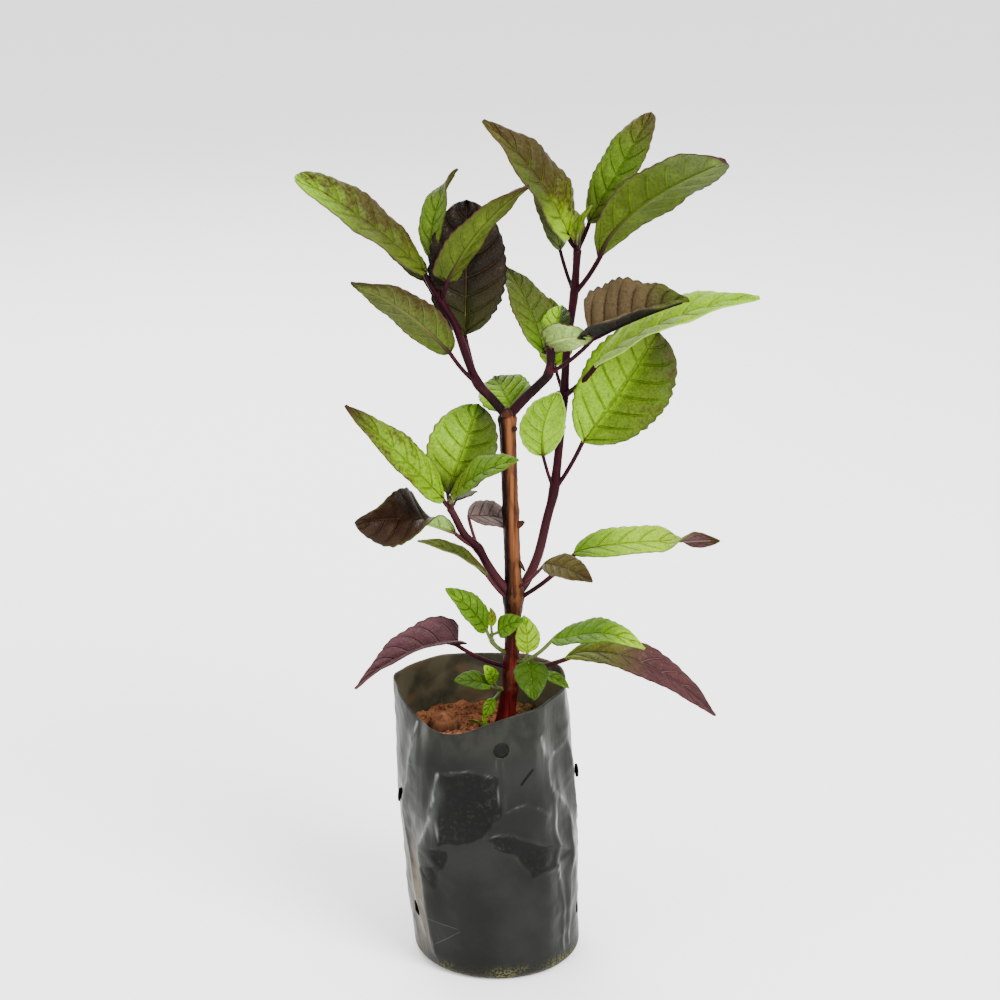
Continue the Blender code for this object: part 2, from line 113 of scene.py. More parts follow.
# patches painted dark for film on wet soil and for shade in its dents: corners as azimuth and height
CLING_AND_SHADE_PATCHES = (
    ((-121, 83), (-99, 87), (-81, 84), (-82, 70), (-93, 60), (-104, 57), (-124, 55)),
    ((-91, 60), (-85, 62), (-74, 61), (-57, 56), (-40, 52), (-26, 47), (-37, 45), (-62, 43), (-69, 48),
     (-74, 53)),
    ((72, 84), (86, 90), (101, 86), (98, 72), (104, 62), (88, 56), (70, 60), (76, 72)),
    ((-142, 42), (-127, 45), (-130, 37)), ((-131, 52), (-118, 53), (-124, 46)),
    ((8, 50), (22, 52), (36, 44), (33, 30), (24, 19), (6, 27), (11, 38)))


def clamp(value):
    """The value, kept between 0 and 1."""
    return min(max(value, 0), 1)


def bell(away, spread):
    """1 where away is 0, and nearly 0 two spreads from there."""
    return math.exp(-(away / spread) ** 2)


def straight_out(azimuth):
    """Level direction away from the bag's axis."""
    return Vector((math.cos(azimuth), math.sin(azimuth), 0))


def stand_at(place, direction):
    """Matrix that seats a shape at a place in mm, with its axis along a direction."""
    return Matrix.Translation(place * MM) @ direction.to_track_quat("Z", "Y").to_matrix().to_4x4()


def bag_wall(azimuth, height, inset):
    """Point of the bag's outer wall, in mm, moved inwards by inset."""
    level = height / BAG_HEIGHT
    radius = BAG_RADIUS + BAG_BULGE * math.sin(0.9 * math.pi * min(level, 1)) - inset
    if height < BASE_CORNER:
        rest = 1 - height / BASE_CORNER
        radius -= BASE_CORNER * (1 - math.sqrt(max(1 - rest * rest, 0)))
    for at, lift in FOLDS:
        away = math.remainder(azimuth - math.radians(at), 2 * math.pi)
        radius += lift * bell(away, FOLD_SPREAD) * min(1, height / 15)
    return Vector((radius * math.cos(azimuth) - BAG_LEAN * level, radius * math.sin(azimuth), height))


def rim_height(azimuth):
    """Height of the wavy rim, which sags at the front left."""
    away = math.remainder(azimuth - RIM_DIP_AT, 2 * math.pi)
    wave = 1.2 * math.cos(2 * azimuth) + 0.6 * math.cos(azimuth)
    return BAG_HEIGHT - RIM_DIP * bell(away, RIM_DIP_SPREAD) + wave


def on_wall(azimuth, height):
    """Flat millimetre coordinates of a place on the unrolled wall, azimuth in degrees."""
    return azimuth * math.pi / 180 * BAG_RADIUS, height


def to_line(x, y, run, rise):
    """Where the line from (0, 0) to (run, rise) comes nearest to (x, y), from 0 to 1, and how near."""
    share = clamp((x * run + y * rise) / (run ** 2 + rise ** 2))
    return share, math.hypot(x - share * run, y - share * rise)


def creasing(azimuth, height):
    """How far the creases push the film out here (mm), and how pale: crest whitening and painted sheen."""
    x, y = on_wall(azimuth, height)
    push, pale = 0, 0
    for stand, wide, white, *points in CREASE_LINES:
        near, fade = 1e9, 0
        for k, (start, end) in enumerate(zip(points, points[1:])):
            (ax, ay), (bx, by) = on_wall(*start), on_wall(*end)
            off = math.remainder(x - ax, 2 * math.pi * BAG_RADIUS)
            share, gap = to_line(off, y - ay, bx - ax, by - ay)
            if gap < near:
                along = (k + share) / (len(points) - 1)
                near, fade = gap, min(1, 0.2 + 5 * along, 0.2 + 5 * (1 - along))
        push += stand * fade * math.exp(-near / wide)
        worn = 0.6 + 1.1 * noise.noise(Vector((x / 4, y / 7, stand)))
        crest, sheen_halo = bell(near, 0.5), math.exp(-near / 3)
        pale = max(pale, white * worn * crest, 0.25 * white * fade * sheen_halo)
    for turn, rise, wide, tall, white in PAINTED_SHEEN:
        aside = math.remainder(x - on_wall(turn, 0)[0], 2 * math.pi * BAG_RADIUS) / wide
        pale += white * math.exp(-aside * aside - ((y - rise) / tall) ** 2)
    return push, pale


def cling_and_shade(azimuth, height):
    """How deep this place lies in a patch painted dark for wet contact and dent shade, in mm; below 0
    outside.
    """
    x, y = on_wall(azimuth, height)
    most = -9
    for corners in CLING_AND_SHADE_PATCHES:
        crossings, near = 0, 1e9
        for start, end in zip(corners, (*corners[1:], corners[0])):
            (ax, ay), (bx, by) = on_wall(*start), on_wall(*end)
            near = min(near, to_line(x - ax, y - ay, bx - ax, by - ay)[1])
            if (ay > y) != (by > y) and x < ax + (y - ay) * (bx - ax) / (by - ay):
                crossings += 1
        most = max(most, near if crossings % 2 else -near)
    return most


def crumple(place):
    """Slack film: broad hollows with sharp crests between them, in mm."""
    broad = 1 - 2.4 * abs(noise.noise(place / 24 + Vector((3, 1, 7))))
    small = 1 - 2.4 * abs(noise.noise(place / 8 + Vector((1, 8, 2))))
    return 0.5 * broad + 0.22 * small


def film_point(azimuth, row):
    """Place on the creased film, its paleness, and depth in a wet patch with painted shade; row is 0 at the
    foot.
    """
    height = rim_height(azimuth) * (row ** ROWS_GATHER)
    place = bag_wall(azimuth, height, 0)
    turn = math.degrees(azimuth)
    push, pale = creasing(turn, height)
    cling_shade = cling_and_shade(turn, height)
    loose = clamp((height - 2) / 10)
    held = clamp(0.5 + cling_shade / 1.4)
    push = max(push + crumple(place) - 0.7 - 0.5 * held, -0.6) * loose
    tuck = bell(math.remainder(azimuth - TUCK_AT, 2 * math.pi), TUCK_SPREAD)
    push -= TUCK_DEPTH * tuck * max(0, (height - 88) / 20)
    return place + straight_out(azimuth) * push, pale, cling_shade


class Number:
    """A number that varies over a surface. Sums written on it become Math nodes."""

    def __init__(self, finish, socket):
        self.finish, self.socket = finish, socket

    def sum(self, operation, *values):
        """What a Math node makes of the values."""
        node = self.finish.add("ShaderNodeMath", {"operation": operation}, dict(enumerate(values)))
        return Number(self.finish, node.outputs[0])

    def __add__(self, other):
        return self.sum("ADD", self, other)

    def __sub__(self, other):
        return self.sum("SUBTRACT", self, other)

    def __rsub__(self, other):
        return self.sum("SUBTRACT", other, self)

    def __mul__(self, other):
        return self.sum("MULTIPLY", self, other)

    def __abs__(self):
        return self.sum("ABSOLUTE", self)

    def larger(self, other):
        """The larger of this and the other."""
        return self.sum("MAXIMUM", self, other)

    def smaller(self, other):
        """The smaller of this and the other."""
        return self.sum("MINIMUM", self, other)

    def off_whole(self):
        """Distance to the nearest whole number."""
        return abs(self.sum("FRACT", self + 0.5) - 0.5)

    def ramp(self, low, high):
        """0 below low, 1 above high, smooth between."""
        node = self.finish.add("ShaderNodeMapRange", {"interpolation_type": "SMOOTHSTEP"},
                               {0: self, 1: low, 2: high})
        return Number(self.finish, node.outputs[0])


class Finish:
    """A material as it is mixed."""

    def __init__(self, name, **fixed):
        self.material = bpy.data.materials.new(name)
        self.material.use_nodes = True
        self.tree = self.material.node_tree
        self.shader = self.tree.nodes["Principled BSDF"]
        for socket, value in fixed.items():
            self.shader.inputs[socket.replace("_", " ")].default_value = value

    def add(self, kind, settings, sockets):
        """A new node with its settings and what feeds its sockets."""
        node = self.tree.nodes.new(kind)
        for name, value in settings.items():
            setattr(node, name, value)
        for name, value in sockets.items():
            self.feed(node.inputs[name], value)
        return node

    def feed(self, socket, value):
        """Link a number or a socket to a socket, or set a fixed value."""
        if isinstance(value, Number):
            value = value.socket
        if isinstance(value, bpy.types.NodeSocket):
            self.tree.links.new(value, socket)
        else:
            socket.default_value = value

    def place(self, stretch=(1, 1, 1)):
        """Object coordinates, squeezed or stretched."""
        where = self.add("ShaderNodeTexCoord", {}, {}).outputs["Object"]
        return self.add("ShaderNodeMapping", {}, {"Vector": where, "Scale": stretch}).outputs[0]

    def noise(self, scale, stretch=(1, 1, 1), detail=2.0):
        """Cloudy pattern from 0 to 1."""
        node = self.add("ShaderNodeTexNoise", {},
                        {"Vector": self.place(stretch), "Scale": scale, "Detail": detail})
        return Number(self, node.outputs["Fac"])

    def cracks(self, scale, stretch=(1, 1, 1)):
        """Distance to the borders of irregular cells."""
        node = self.add("ShaderNodeTexVoronoi", {"feature": "DISTANCE_TO_EDGE"},
                        {"Vector": self.place(stretch), "Scale": scale})
        return Number(self, node.outputs["Distance"])

    def kept_colour(self, name):
        """A colour kept on the mesh."""
        return self.add("ShaderNodeAttribute", {"attribute_name": name}, {}).outputs["Color"]

    def kept_number(self, name):
        """A number kept on the mesh."""
        return Number(self, self.add("ShaderNodeAttribute", {"attribute_name": name}, {}).outputs["Fac"])

    def split(self, vector):
        """The three numbers that a vector holds."""
        return [Number(self, out) for out in self.add("ShaderNodeSeparateXYZ", {}, {0: vector}).outputs]

    def unrolled(self, name):
        """The two numbers of a UV map."""
        return self.split(self.add("ShaderNodeUVMap", {"uv_map": name}, {}).outputs[0])[:2]

    def stroke(self, across, up, start, end, half):
        """1 on a straight line between two places of the wall, 0 beside it."""
        (ax, ay), (bx, by) = on_wall(*start), on_wall(*end)
        long = math.hypot(bx - ax, by - ay)
        beside = abs((across - ax) * ((by - ay) / long) - (up - ay) * ((bx - ax) / long))
        along = (across - ax) * ((bx - ax) / long ** 2) + (up - ay) * ((by - ay) / long ** 2)
        return (1 - beside.ramp(half * 0.6, half * 1.6)) * along.ramp(0, 0.1) * (1 - along.ramp(0.85, 1))

    def mix(self, share, under, over):
        """One colour laid over another by a share."""
        node = self.add("ShaderNodeMix", {"data_type": "RGBA"}, {0: share, 6: under, 7: over})
        return node.outputs[2]

    def coats(self, colour, *coats):
        """A colour with others laid over it in turn, each given as its share and swatch."""
        for share, *swatch in coats:
            colour = self.mix(share, colour, paint(*swatch))
        return colour

    def wear(self, colour, roughness=None, height=None, relief=0.0002, strength=1.0):
        """Feed what varies to the shader; relief is the depth of the height, in metres."""
        self.feed(self.shader.inputs["Base Color"], colour)
        if roughness is not None:
            self.feed(self.shader.inputs["Roughness"], roughness)
        if height is not None:
            bump = self.add("ShaderNodeBump", {},
                            {"Strength": strength, "Distance": relief, "Height": height})
            self.feed(self.shader.inputs["Normal"], bump.outputs[0])
        return self.material


def paint(red, green, blue):
    """Linear colour of a swatch given as 0 to 255."""
    return (*[((c / 255 + 0.055) / 1.055) ** 2.4 for c in (red, green, blue)], 1)


def as_object(name, bm, collection=bpy.context.scene.collection):
    """Turn a bmesh into an object in a collection."""
    mesh = bpy.data.meshes.new(name)
    bm.to_mesh(mesh)
    bm.free()
    made = bpy.data.objects.new(name, mesh)
    collection.objects.link(made)
    return made


def piece(name, bm, materials, node):
    """A smooth piece that stands for a CAD node."""
    made = as_object(name, bm)
    for material in materials:
        made.data.materials.append(material)
    made.data.shade_smooth()
    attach(made, "root")
    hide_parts(node)
    return made


def apply_modifiers(obj):
    """Make what the modifiers do part of the mesh."""
    graph = bpy.context.evaluated_depsgraph_get()
    graph.update()
    mesh = bpy.data.meshes.new_from_object(obj.evaluated_get(graph))
    obj.modifiers.clear()
    obj.data = mesh


film = Finish("black_film", IOR=1.5, Specular_IOR_Level=0.06)
pale, cling_shade, stain = (film.kept_number(name) for name in ("pale", "cling_shade", "stain"))
across, up = (number * UV_UNIT for number in film.unrolled("wall"))
haze = film.noise(38, detail=4).ramp(0.4, 0.7)
grain = film.noise(260, (1, 1, 0.6), 6)
streaks = film.noise(300, (1, 1, 0.06), 4)
patchy = film.noise(60, detail=3).ramp(0.42, 0.6)
dust = film.noise(1300, detail=5)
beads = film.noise(620, detail=5).ramp(0.5, 0.66)
top = up.ramp(88, 98)
foot = (1 - up.ramp(0, 9)) * (patchy * 0.7 + 0.3)
# painted shade: the patches are dark partly as film on wet soil and partly as shade in its dents, and
# darker still along their edges
ragged = cling_shade + patchy * 1.6 + grain * 1.6 - 1.6
held = ragged.ramp(-0.5, 0.5)
painted_edge_shade = 1 - abs(ragged).ramp(0.1, 0.7)
black = film.coats(
    paint(20, 21, 19), (haze, 28, 29, 27), (top * (grain.ramp(0.35, 0.65) * 0.5 + 0.1), 38, 38, 33),
    ((stain * (grain * 1.2 + 0.1)).ramp(0, 1) * 0.8, 98, 88, 72), (held * 0.8, 6, 7, 6),
    (held * beads * (patchy * 0.14 + 0.05), 52, 54, 49), (painted_edge_shade * 0.4, 2, 2, 2),
    # painted highlight and sheen: the pale share lightens the crests, the film beside them and the sheen
    # patches
    ((pale * (streaks.ramp(0.35, 0.65) * 0.9 + 0.45)).ramp(0, 1.1), 128, 131, 127),
    *[(film.stroke(across, up, *scratch) * (grain * 0.35), 104, 107, 102) for scratch in SCRATCHES],
    # painted shade: the cut is a black line with nothing opened behind it
    (film.stroke(across, up, *CUT), 0, 0, 0), ((foot * dust.ramp(0.44, 0.56)).ramp(0, 1), 78, 76, 44))
film.wear(black, haze * 0.14 + 0.3 + foot * 0.3 + held * 0.1, grain + streaks * 0.5, 0.0004, 0.6)
soiled = Finish("soiled_film", Specular_IOR_Level=0.2, Roughness=0.6)
runs = soiled.noise(80, (1, 1, 0.9), 5)
inner = soiled.coats(paint(42, 41, 31), (runs.ramp(0.35, 0.6), 72, 67, 50),
                     (soiled.noise(60, (1, 1, 2.2), 4).ramp(0.5, 0.68) * 0.7, 84, 62, 40))
soiled.wear(inner, None, runs, 0.0005, 0.5)

bm = bmesh.new()
bmesh.ops.create_grid(bm, x_segments=FILM_COLUMNS, y_segments=FILM_ROWS, size=1)
paled, cling_shade_layer, stained = (bm.verts.layers.float.new(name) for name in ("pale", "cling_shade", "stain"))
unrolled = bm.loops.layers.uv.new("wall")
for vert in bm.verts:
    azimuth, row = math.pi * vert.co.x, round((vert.co.y + 1) / 2 * FILM_ROWS) / FILM_ROWS
    place, vert[paled], vert[cling_shade_layer] = film_point(azimuth, row)
    aside = math.degrees(azimuth) - STAIN_AT[0]
    vert[stained] = math.exp(-(aside / 10) ** 2 - ((place.z - STAIN_AT[1]) / 24) ** 2)
    for loop in vert.link_loops:
        loop[unrolled].uv = Vector(on_wall(math.degrees(azimuth), place.z)) / UV_UNIT
    vert.co = place * MM
bmesh.ops.remove_doubles(bm, verts=bm.verts, dist=1e-6)
bmesh.ops.contextual_create(bm, geom=[edge for edge in bm.edges if edge.is_boundary
                                      and max(vert.co.z for vert in edge.verts) < MM])
bmesh.ops.recalc_face_normals(bm, faces=bm.faces)
bag = piece("polybag_film", bm, [film.material, soiled.material], "polybag")
wall = bag.modifiers.new("film", "SOLIDIFY")
wall.thickness = FILM_THICKNESS * MM
wall.offset = -1
wall.material_offset = 1
apply_modifiers(bag)
punches = bpy.data.collections.new("punches")
for turn, rise in DRAIN_HOLES:
    azimuth = math.radians(turn)
    bm = bmesh.new()
    bmesh.ops.create_cone(bm, cap_ends=True, segments=ROUND, radius1=HOLE_RADIUS * MM,
                          radius2=HOLE_RADIUS * MM, depth=8 * MM,
                          matrix=stand_at(bag_wall(azimuth, rise, 0), straight_out(azimuth)))
    as_object("punch", bm, punches)
cut = bag.modifiers.new("punch", "BOOLEAN")
cut.operation = "DIFFERENCE"
cut.operand_type = "COLLECTION"
cut.collection = punches
apply_modifiers(bag)
for cutter in list(punches.objects):
    bpy.data.objects.remove(cutter)
bpy.data.collections.remove(punches)
bag.data.shade_smooth()

# Three punched discs did not fall out: one hangs behind the front hole as a dark sheet standing for the
# shade in it, and two hang on by one edge and stand out a little; all three take the darkest painted patch
# shade.
bm = bmesh.new()
unrolled, cling_shade_layer = bm.loops.layers.uv.new("wall"), bm.verts.layers.float.new("cling_shade")
for (turn, rise), inset, tilt, size in zip(DRAIN_HOLES, (0.9, 0, 0), (0, -20, 20), (1.25, 0.85, 0.85)):
    azimuth, radius = math.radians(turn), size * HOLE_RADIUS * MM
    centre = film_point(azimuth, (rise / rim_height(azimuth)) ** (1 / ROWS_GATHER))[0]
    hinge = Matrix.Translation((math.copysign(radius, tilt), 0, 0))
    seat = stand_at(centre - straight_out(azimuth) * inset, straight_out(azimuth))
    seat = seat @ hinge @ Matrix.Rotation(math.radians(tilt), 4, "Y") @ hinge.inverted()
    made = bmesh.ops.create_cone(bm, cap_ends=True, segments=ROUND, radius1=radius, radius2=radius,
                                 depth=0.5 * MM, matrix=seat)["verts"]
    for vert in made:
        # painted shade: each disc takes the darkest share of the patch colour
        vert[cling_shade_layer] = 3
        for loop in vert.link_loops:
            loop[unrolled].uv = Vector(on_wall(turn, rise)) / UV_UNIT
piece("punched_discs", bm, [film.material], "polybag").data.shade_flat()

# ---- soil ----
# Red-brown garden soil, filled loose to 20 mm below the rim and watered in, with one round clod at the back
# left, crumbs half sunk in it and moss to the right.
SOIL_TOP, SOIL_LUMP, SOIL_INSET = 88.0, 1.4, 1.4
SOIL_COLUMNS, SOIL_ROWS, WALL_ROWS = 150, 64, 10
CLOD, CLOD_RADIUS, CLOD_HEIGHT = Vector((-20.5, 9)), 5.5, 4.0
TRUNK_AT, HOLE_FOR_TRUNK, TRUNK_FOOT = Vector((2, 0)), 3.6, 62.0
CRUMBS = 1100


def soil_height(x, y):
    """Height of the soil's top: soft lumps, a clod and crumbs."""
    lump = math.sin(0.41 * x + 1.1) * math.cos(0.37 * y) + 0.6 * math.sin(0.83 * x - 0.6 * y)
    away = math.hypot(x - CLOD.x, y - CLOD.y) / CLOD_RADIUS
    clod = CLOD_HEIGHT * math.sqrt(max(0, 1 - away ** 4)) if away < 1 else -1.8 * math.exp(-4 * (away - 1))
    clod -= 0.7 * bell(away - 0.6, 0.09)
    rough = noise.noise(Vector((x, y, 0)) / 2.2) * 0.9 + noise.noise(Vector((x, y, 5)) / 0.9) * 0.45
    return SOIL_TOP + SOIL_LUMP * 0.5 * lump + clod * 0.8 + rough


def soil_point(azimuth, row):
    """Rows climb the wall, cross the top and go down the hole for the trunk."""
    if row == 0:
        return Vector((*bag_wall(azimuth, BASE_CORNER, SOIL_INSET + BASE_CORNER).xy, 1.2))
    if row < WALL_ROWS:
        return bag_wall(azimuth, 7 + (SOIL_TOP - 8) * (row - 1) / (WALL_ROWS - 1), SOIL_INSET)
    x, y = TRUNK_AT + straight_out(azimuth).xy * HOLE_FOR_TRUNK
    if row == SOIL_ROWS:
        return Vector((x, y, TRUNK_FOOT))
    edge = bag_wall(azimuth, SOIL_TOP, 1.1)
    share = 1 - (row - WALL_ROWS) / (SOIL_ROWS - 1 - WALL_ROWS)
    x, y = x + (edge.x - x) * share, y + (edge.y - y) * share
    return Vector((x, y, soil_height(x, y)))


earth = Finish("red_soil", Roughness=0.95, Specular_IOR_Level=0.1)
grain = earth.noise(320, detail=5)
clump = earth.noise(70, detail=3)
grit = earth.noise(1500, detail=2).ramp(0.6, 0.72)
moss = earth.split(earth.place())[0].ramp(0.004, 0.013) * earth.noise(240, detail=4).ramp(0.42, 0.56)
# the last coat is painted shade and wet soil: dark below the top, round the clod and in its groove
red = earth.coats(paint(104, 63, 40), (clump.ramp(0.35, 0.65), 134, 87, 58),
                  (grain.ramp(0.45, 0.7) * 0.6, 52, 27, 16), (grit * 0.4, 140, 92, 60),
                  (moss * 0.8, 42, 50, 14), (earth.kept_number("damp_and_shade"), 14, 7, 4))
earth.wear(red, None, grain + grit * 0.3, 0.0009, 0.9)

bm = bmesh.new()
bmesh.ops.create_grid(bm, x_segments=SOIL_COLUMNS, y_segments=SOIL_ROWS, size=1)
damp_and_shade = bm.verts.layers.float.new("damp_and_shade")
for vert in bm.verts:
    place = soil_point(math.pi * vert.co.x, round((vert.co.y + 1) / 2 * SOIL_ROWS))
    away = (place.xy - CLOD).length / CLOD_RADIUS
    # painted shade round the clod's undercut edge and in the groove on it; below its top the soil is
    # painted dark as wet and in shade
    clod_shade = max(0.9 * bell(away - 1.08, 0.16), 0.4 * bell(away - 0.6, 0.08))
    vert[damp_and_shade] = 0.9 if place.z < SOIL_TOP - 4 else clod_shade
    vert.co = place * MM
bmesh.ops.remove_doubles(bm, verts=bm.verts, dist=1e-6)
bmesh.ops.contextual_create(bm, geom=[e for e in bm.edges if e.is_boundary and e.verts[0].co.z < 0.01])
bmesh.ops.contextual_create(bm, geom=[e for e in bm.edges if e.is_boundary])
bmesh.ops.recalc_face_normals(bm, faces=bm.faces)
dice = random.Random(4)
for _ in range(CRUMBS):
    turn, share = dice.uniform(-math.pi, math.pi), math.sqrt(dice.uniform(0.03, 0.96))
    edge = bag_wall(turn, SOIL_TOP, 2)
    x, y = edge.x * share + TRUNK_AT.x * (1 - share), edge.y * share
    if math.hypot(x - CLOD.x, y - CLOD.y) < 1.25 * CLOD_RADIUS or math.hypot(x - TRUNK_AT.x, y) < 4.4:
        continue
    size = 0.35 + 1.15 * dice.random() ** 3
    spin = Matrix.Rotation(dice.uniform(0, 6), 4, (dice.random(), dice.random(), dice.random() + 0.1))
    width = size * MM
    squash = Matrix.Diagonal((width, width * dice.uniform(0.6, 1), width * dice.uniform(0.6, 1), 1))
    seat = Matrix.Translation(Vector((x, y, soil_height(x, y) + size * 0.25)) * MM)
    bmesh.ops.create_icosphere(bm, subdivisions=1, radius=1, matrix=seat @ spin @ squash)
piece("soil_fill", bm, [earth.material], "soil")

# ---- trunk ----
# The woody main stem, cut above the fork. Its bark has turned from purple to orange-brown, with fine
# lengthwise fissures, leaf scars at the nodes, a spur and a broken stub. Its colour is painted shaded to
# the left and lit to the right.
TRUNK = ((1.5, 0, 62, 3.5), (2, 0, 85, 3.85), (3.3, 0, 96, 3.4), (4.6, 0, 106, 3.0), (5.3, 0, 117, 2.9),
         (5.8, 0, 132, 2.9), (6, 0, 144, 3.75), (5.8, 0, 153, 3.05), (4.9, 0, 177, 2.95),
         (4.2, 0, 196, 2.95), (3.8, 0, 208, 3.0), (3.6, 0, 213, 3.2), (3.5, 0, 215.5, 2.2))
NODE_HEIGHTS = (106, 118, 143, 177, 211)
# spurs and stubs: foot, tip and radius of each, in mm
SPURS = (((7.6, -1, 171.5), (9.8, -1.6, 173.2), 1.3), ((8, -1.2, 157.6), (10.2, -2.4, 154.2), 0.8),
         ((6.2, -2.4, 208.8), (6.9, -3.3, 209.6), 1.1), ((3.6, -1.6, 214), (3.2, -1.9, 216.6), 2.4))


def smooth_path(points, steps):
    """Points along a smooth curve through the given ones, whose extra numbers are carried along."""
    out = []
    ends = [points[0], *points, points[-1]]
    for a, b, c, d in zip(ends, ends[1:], ends[2:], ends[3:]):
        for k in range(steps):
            t = k / steps
            out.append([0.5 * (2 * q + (r - p) * t + (2 * p - 5 * q + 4 * r - s) * t * t
                               + (3 * q - p - 3 * r + s) * t ** 3) for p, q, r, s in zip(a, b, c, d)])
    out.append(list(points[-1]))
    return out


def add_tube(bm, path, sides, relief, tint):
    """A round tube with closed, rounded ends, along points that give place and radius in mm."""
    places, radii = [Vector(p[:3]) for p in path], [0, *(p[3] for p in path), 0]
    first, last = places[0], places[-1]
    places = [first + (first - places[1]).normalized() * radii[1] * 0.4, *places,
              last + (last - places[-2]).normalized() * radii[-2] * 0.4]
    rows = len(places) - 1
    tangents = [(places[min(k + 1, rows)] - places[max(k - 1, 0)]).normalized() for k in range(rows + 1)]
    side = tangents[0].orthogonal().normalized()
    frames = []
    for tangent in tangents:
        side = (side - tangent * side.dot(tangent)).normalized()
        frames.append((side, tangent.cross(side)))
    made = bmesh.ops.create_grid(bm, x_segments=sides, y_segments=rows, size=1)["verts"]
    tinted = bm.verts.layers.float_color["tint"]
    for vert in made:
        turn, row = math.pi * vert.co.x, round((vert.co.y + 1) / 2 * rows)
        one, two = frames[row]
        out = one * math.cos(turn) + two * math.sin(turn)
        radius = radii[row]
        if relief:
            radius *= 1 + relief(places[row], out)
        vert[tinted] = tint(row / rows, out)
        vert.co = (places[row] + out * radius) * MM
    bmesh.ops.remove_doubles(bm, verts=made, dist=1e-7)


def bark_relief(place, out):
    """Fissures along the stem, swollen nodes."""
    spot = Vector((out.x * 3, out.y * 3, place.z / 9))
    fissure = abs(noise.noise(spot * 1.7)) * 0.16 + noise.noise(spot * 4) * 0.05
    swell = sum(0.10 * bell(place.z - z, 2.2) for z in NODE_HEIGHTS)
    scar = sum(-0.10 * bell(place.z - z - 2.5, 0.6) for z in NODE_HEIGHTS)
    return swell + scar - fissure + 0.05


def part_way(low, high, share):
    """Colour a share of the way from one to the other."""
    return tuple(a + (b - a) * share for a, b in zip(low, high))


def bark_tint(row, out):
    """Painted shade nearly black at left, painted light orange-brown at right, wine red by the soil and
    fork.
    """
    lit_share = clamp((out.x + 0.52) / 0.75)
    # painted shade also darkens the far right edge, and the lower trunk takes less of the painted light
    lit_share = lit_share * lit_share * (3 - 2 * lit_share) * (1 - 0.6 * max(0, out.x - 0.35) / 0.65)
    lit_share *= 0.6 + 0.4 * clamp(8 * row - 3.6)
    young = max(clamp(3.2 - 6.7 * row), clamp(22 * row - 20.2))
    lit = part_way(paint(104, 62, 34), paint(126, 34, 34), young)
    dark = part_way(paint(13, 2, 1), paint(56, 8, 8), young)
    return part_way(dark, lit, lit_share)


bark = Finish("bark", Specular_IOR_Level=0.05)
fibre = bark.noise(560, (1, 1, 0.05), 5)
flake = bark.cracks(230, (1, 1, 0.25)).ramp(0.02, 0.14)
blotch = bark.noise(170, (1, 1, 0.3), 4)
brown = bark.coats(bark.kept_colour("tint"), (fibre.ramp(0.45, 0.6) * 0.75, 30, 9, 4),
                   (blotch.ramp(0.6, 0.72) * 0.18, 130, 84, 54), ((1 - flake) * 0.35, 12, 3, 2))
bark.wear(brown, fibre * 0.2 + 0.35, fibre * 0.8 + flake * 0.5, 0.0005)

bm = bmesh.new()
bm.verts.layers.float_color.new("tint")
add_tube(bm, smooth_path(TRUNK, 14), 40, bark_relief, bark_tint)
for foot, tip, girth in SPURS:
    middle = [(a + b) / 2 for a, b in zip(foot, tip)]
    line = smooth_path([(*foot, girth), (*middle, girth * 0.9), (*tip, girth * 0.45)], 4)
    add_tube(bm, line, 14, None, lambda row, out: paint(60 - 20 * row, 26, 16))
piece("trunk_bark", bm, [bark.material], "trunk")

# ---- young stems, petioles and leaves ----
# Soft four-sided shoots, dark purple and finely hairy, bear pairs of stalked leaves. A blade is toothed,
# quilted between its sunken veins, paler beneath, and often flushed purple or brown.
LEAF_THICKNESS = 0.36
LONG_BLADE, SHORT_BLADE = 34, 18
# one tooth of the margin, from notch to tip, and how deep it is as a share of the half width
TOOTH = (0, 0.4, 0.75, 1, 0.55)
TOOTH_DEPTH = 0.055
# as shares of the blade's width: how far it swells between the veins and how far its margin waves
QUILTING, MARGIN_WAVE = 0.042, 0.026
# least half widths of a blade at its heel and tip; steps between two nodes of a stem; points along a stalk
# and along the rib behind a blade
HEEL_WIDTH, TIP_WIDTH = 0.5, 0.12
STEM_STEPS, STALK_POINTS, RIB_POINTS = 8, 10, 14
VEIN_UNIT = 8
LEAF_LAYERS = ("upper", "under", "vein", "rim")
PAINTS = {name: paint(*rgb) for name, rgb in {
    "spring": (106, 145, 0), "lime": (116, 150, 4), "fresh": (68, 98, 2), "vivid": (60, 90, 0),
    "leaf": (62, 76, 14), "moss": (48, 58, 7), "grass": (41, 64, 3), "deep": (32, 35, 3),
    "mint": (140, 170, 84), "sage": (80, 92, 48), "dull": (65, 72, 29), "straw": (87, 97, 18),
    "olive": (58, 52, 14), "umber": (44, 32, 6), "rust": (67, 54, 32), "cocoa": (29, 12, 7),
    "plum": (56, 27, 30), "heather": (64, 39, 43), "ink": (9, 3, 3), "mauve": (80, 66, 62),
    "wine": (30, 4, 12)}.items()}
# a leaf: the node it grows from; petiole and blade, each as length in mm, azimuth and rise; width; roll;
# paints of its faces from heel to tip, of its veins and rim; mottle, and how much more of it on one half;
# arch, fold, twist (degrees, start and span), sideways bend; outline; and how much painted shade darkens
# one half
Leaf = namedtuple(
    "Leaf", "node petiole blade width roll upper under vein rim mottle flush arch fold twist sickle peak "
    "heel point deep", defaults=("fresh fresh leaf", "sage", "moss", "plum", 0.15, 0, 0.08, 14,
                                 (0, 0, 1), 0.0, 0.5, 0.55, 0.85, 0))


def heading(length, azimuth, rise):
    """Vector of a length in mm, towards a compass azimuth (0 is +X, 90 is +Y) and rising from level."""
    turn, lift = math.radians(azimuth), math.radians(rise)
    level = math.cos(lift)
    return Vector((math.cos(turn) * level, math.sin(turn) * level, math.sin(lift))) * length


